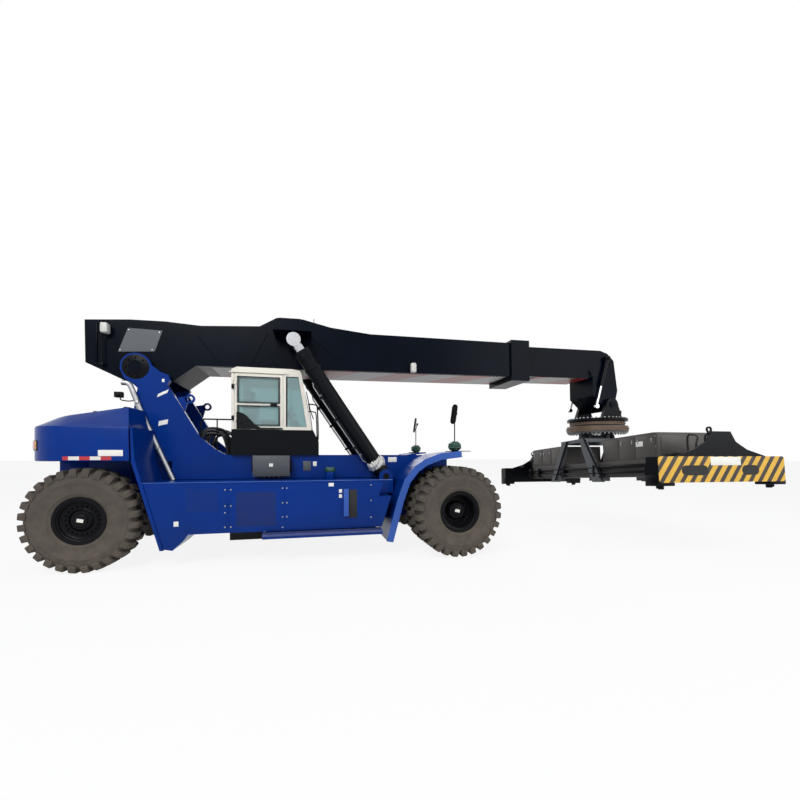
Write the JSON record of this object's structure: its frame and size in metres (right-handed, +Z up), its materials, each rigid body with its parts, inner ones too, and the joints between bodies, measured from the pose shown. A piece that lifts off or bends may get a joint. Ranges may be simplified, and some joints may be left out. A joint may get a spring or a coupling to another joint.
{
  "type": "reach stacker",
  "caption": "Wheeled container handler with a telescopic lifting boom, swivelling extendable spreader, glazed cab and heavy rear counterweight.",
  "frame": {"origin": "centre of the bounding box's base, on the ground the tyres stand on", "axes": "+X forwards towards the spreader, +Y to the machine's left, +Z up"},
  "size_m": [12.8946, 6.2826, 4.5307],
  "materials": {
    "tyre_rubber": "tread rubber",
    "blue_paint": "gloss",
    "black_paint": "satin",
    "boom_paint": "satin",
    "cab_paint": "gloss",
    "grey_paint": "satin",
    "hard_chrome": "polished",
    "cab_glass": "clear",
    "seat_fabric": "woven",
    "engine_iron": "as cast"
  },
  "bodies": {
    "chassis": {"boom_tower_left": "blue_paint", "boom_tower_right": "blue_paint", "cab_base": "black_paint", "cab_frame": "cab_paint", "chassis_frame": "blue_paint", "counterweight": "blue_paint", "driver_seat": "seat_fabric", "electrical_box": "grey_paint", "engine_block": "engine_iron", "front_axle": "black_paint", "front_fender_left": "blue_paint", "front_fender_right": "blue_paint", "rear_axle": "black_paint", "rear_window": "cab_glass", "side_box_left": "blue_paint", "side_box_right": "blue_paint", "side_window_left": "cab_glass", "side_window_right": "cab_glass", "steering_console": "black_paint", "windshield": "cab_glass"},
    "cab_door": {"cab_door": "cab_paint", "door_window_lower": "cab_glass", "door_window_upper": "cab_glass"},
    "front_wheels_right": {"front_rim_right": "black_paint", "front_tyre_inner_right": "tyre_rubber", "front_tyre_outer_right": "tyre_rubber"},
    "front_wheels_left": {"front_rim_left": "black_paint", "front_tyre_inner_left": "tyre_rubber", "front_tyre_outer_left": "tyre_rubber"},
    "rear_knuckle_right": {"rear_knuckle_right": "black_paint"},
    "rear_knuckle_left": {"rear_knuckle_left": "black_paint"},
    "rear_wheel_right": {"rear_rim_right": "black_paint", "rear_tyre_right": "tyre_rubber"},
    "rear_wheel_left": {"rear_rim_left": "black_paint", "rear_tyre_left": "tyre_rubber"},
    "lift_barrels": {"lift_barrel_left": "black_paint", "lift_barrel_right": "black_paint"},
    "lift_rods": {"lift_rod_left": "hard_chrome", "lift_rod_right": "hard_chrome"},
    "outer_boom": {"outer_boom": "boom_paint"},
    "inner_boom": {"inner_boom": "boom_paint"},
    "damper_barrels": {"damper_barrel_left": "black_paint", "damper_barrel_right": "black_paint"},
    "damper_rods": {"damper_rod_left": "hard_chrome", "damper_rod_right": "hard_chrome"},
    "rotator_yoke": {"rotator_yoke": "black_paint"},
    "turntable": {"turntable": "grey_paint"},
    "sideshift_carriage": {"sideshift_carriage": "grey_paint"},
    "spreader_frame": {"spreader_frame": "grey_paint"},
    "end_beam_right": {"end_beam_right": "black_paint"},
    "end_beam_left": {"end_beam_left": "black_paint"}
  },
  "joints": [
    {"name": "front_wheel_spin_right", "type": "hinge", "parent": "chassis", "child": "front_wheels_right", "pos_m": [0.44271, -1.35342, 0.8075], "axis": [0, 1, 0], "continuous": true},
    {"name": "front_wheel_spin_left", "type": "hinge", "parent": "chassis", "child": "front_wheels_left", "pos_m": [0.44271, 1.80658, 0.8075], "axis": [0, 1, 0], "continuous": true},
    {"name": "rear_steer_right", "type": "hinge", "parent": "chassis", "child": "rear_knuckle_right", "pos_m": [-5.58729, -0.99342, 0.8075], "axis": [0, 0, 1], "range_deg": [-45, 45]},
    {"name": "rear_steer_left", "type": "hinge", "parent": "chassis", "child": "rear_knuckle_left", "pos_m": [-5.58729, 1.44658, 0.8075], "axis": [0, 0, 1], "range_deg": [-45, 45]},
    {"name": "rear_wheel_spin_right", "type": "hinge", "parent": "rear_knuckle_right", "child": "rear_wheel_right", "pos_m": [-5.58729, -1.20342, 0.8075], "axis": [0, 1, 0], "continuous": true},
    {"name": "rear_wheel_spin_left", "type": "hinge", "parent": "rear_knuckle_left", "child": "rear_wheel_left", "pos_m": [-5.58729, 1.65658, 0.8075], "axis": [0, 1, 0], "continuous": true},
    {"name": "cab_door_hinge", "type": "hinge", "parent": "chassis", "child": "cab_door", "pos_m": [-3.53129, -0.53542, 2.3], "axis": [0, 0, -1], "range_deg": [0, 80]},
    {"name": "boom_lift", "type": "hinge", "parent": "chassis", "child": "outer_boom", "pos_m": [-5.19729, 0.22658, 3.4], "axis": [0, -1, 0], "range_deg": [0, 58]},
    {"name": "boom_extend", "type": "slide", "parent": "outer_boom", "child": "inner_boom", "axis": [0.9999, 0, 0.0157], "range_m": [0, 6.8]},
    {"name": "lift_barrel_swing", "type": "hinge", "parent": "chassis", "child": "lift_barrels", "pos_m": [-0.70729, 0.22658, 1.4], "axis": [0, -1, 0], "range_deg": [0, 3.35]},
    {"name": "lift_rod_extend", "type": "slide", "parent": "lift_barrels", "child": "lift_rods", "axis": [-0.5599, 0, 0.8286], "range_m": [0, 2.7614]},
    {"name": "spreader_level", "type": "hinge", "parent": "inner_boom", "child": "rotator_yoke", "pos_m": [4.99271, 0.22658, 3.05], "axis": [0, -1, 0], "range_deg": [-58.06, 0]},
    {"name": "damper_barrel_swing", "type": "hinge", "parent": "inner_boom", "child": "damper_barrels", "pos_m": [4.88271, 0.22658, 4.16], "axis": [0, -1, 0], "range_deg": [0, 3.83]},
    {"name": "damper_rod_slide", "type": "slide", "parent": "damper_barrels", "child": "damper_rods", "axis": [-0.2504, 0, -0.9681], "range_m": [-0.4032, 0]},
    {"name": "spreader_slew", "type": "hinge", "parent": "rotator_yoke", "child": "turntable", "pos_m": [4.99271, 0.22658, 2.54], "axis": [0, 0, 1], "range_deg": [-105, 195]},
    {"name": "spreader_tilt", "type": "hinge", "parent": "turntable", "child": "sideshift_carriage", "pos_m": [4.99271, 0.22658, 2.27], "axis": [0.9985, -0.055, 0], "range_deg": [-1.22, 8.78]},
    {"name": "side_shift", "type": "slide", "parent": "sideshift_carriage", "child": "spreader_frame", "axis": [-0.0549, -0.9963, 0.066], "range_m": [-0.96, 0.64]},
    {"name": "spreader_extend_right", "type": "slide", "parent": "spreader_frame", "child": "end_beam_right", "axis": [-0.0549, -0.9963, 0.066], "range_m": [0, 3.066]},
    {"name": "spreader_extend_left", "type": "slide", "parent": "spreader_frame", "child": "end_beam_left", "axis": [0.0549, 0.9963, -0.066], "range_m": [0, 3.066]}
  ],
  "couplings": [
    {"joint": "rear_steer_left", "follows": "rear_steer_right", "ratio": 1},
    {"joint": "lift_barrel_swing", "follows": "boom_lift", "ratio": 0.056644},
    {"joint": "lift_rod_extend", "follows": "boom_lift", "m_per_rad": 2.6744},
    {"joint": "spreader_level", "follows": "boom_lift", "ratio": -1},
    {"joint": "damper_barrel_swing", "follows": "boom_lift", "ratio": 0.064765},
    {"joint": "damper_rod_slide", "follows": "boom_lift", "m_per_rad": -0.3905},
    {"joint": "spreader_extend_left", "follows": "spreader_extend_right", "ratio": 1}
  ]
}
